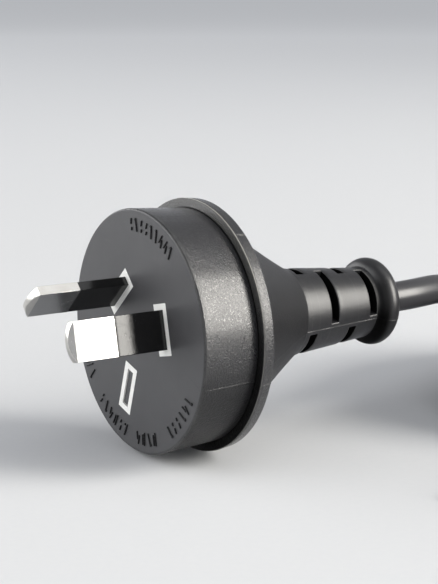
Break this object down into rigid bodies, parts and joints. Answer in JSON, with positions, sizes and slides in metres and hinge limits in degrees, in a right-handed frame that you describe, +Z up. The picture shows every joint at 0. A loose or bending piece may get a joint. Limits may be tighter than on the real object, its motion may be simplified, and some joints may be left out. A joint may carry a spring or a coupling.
{
  "type": "type i plug",
  "caption": "Type I mains plug in black moulded plastic with sleeved flat blades, no earth pin, a slotted strain relief and a coiled round cord with stripped ends.",
  "frame": {"origin": "centre of the contact face, on the plug's own axis", "axes": "+X from the contact face towards the cord, +Z up with the plug lying on its flange, +Y to its side away from the active blade; the blades stand out towards -X"},
  "size_m": [0.1515, 0.0793, 0.0418],
  "materials": {
    "body_compound": "fine matt face, coarse spark-eroded side, smooth flange and strain relief",
    "carrier_white": "smooth, slightly warm white",
    "blade_nickel": "bright nickel plate on brass",
    "sleeve_black": "glossy",
    "copper_strand": "bare copper strand",
    "core_brown": "satin brown insulation",
    "core_blue": "satin light-blue insulation",
    "cord_black": "satin-gloss sheath",
    "tinned_strand": "solder-tinned strand",
    "tie_fabric": "woven hook-and-loop strap"
  },
  "bodies": {
    "root": {"moulded_body": "body_compound", "pin_carrier": "carrier_white", "active_pin": "blade_nickel", "neutral_pin": "blade_nickel", "active_pin_sleeve": "sleeve_black", "neutral_pin_sleeve": "sleeve_black", "active_conductor": "copper_strand", "neutral_conductor": "copper_strand", "active_core": "core_brown", "neutral_core": "core_blue", "cord_sheath": "cord_black", "cord_run": "cord_black", "cord_coil": "cord_black", "cord_tie": "tie_fabric", "cord_tail": "cord_black", "active_tail_core": "core_brown", "neutral_tail_core": "core_blue", "active_tinned_end": "tinned_strand", "neutral_tinned_end": "tinned_strand"}
  },
  "joints": []
}
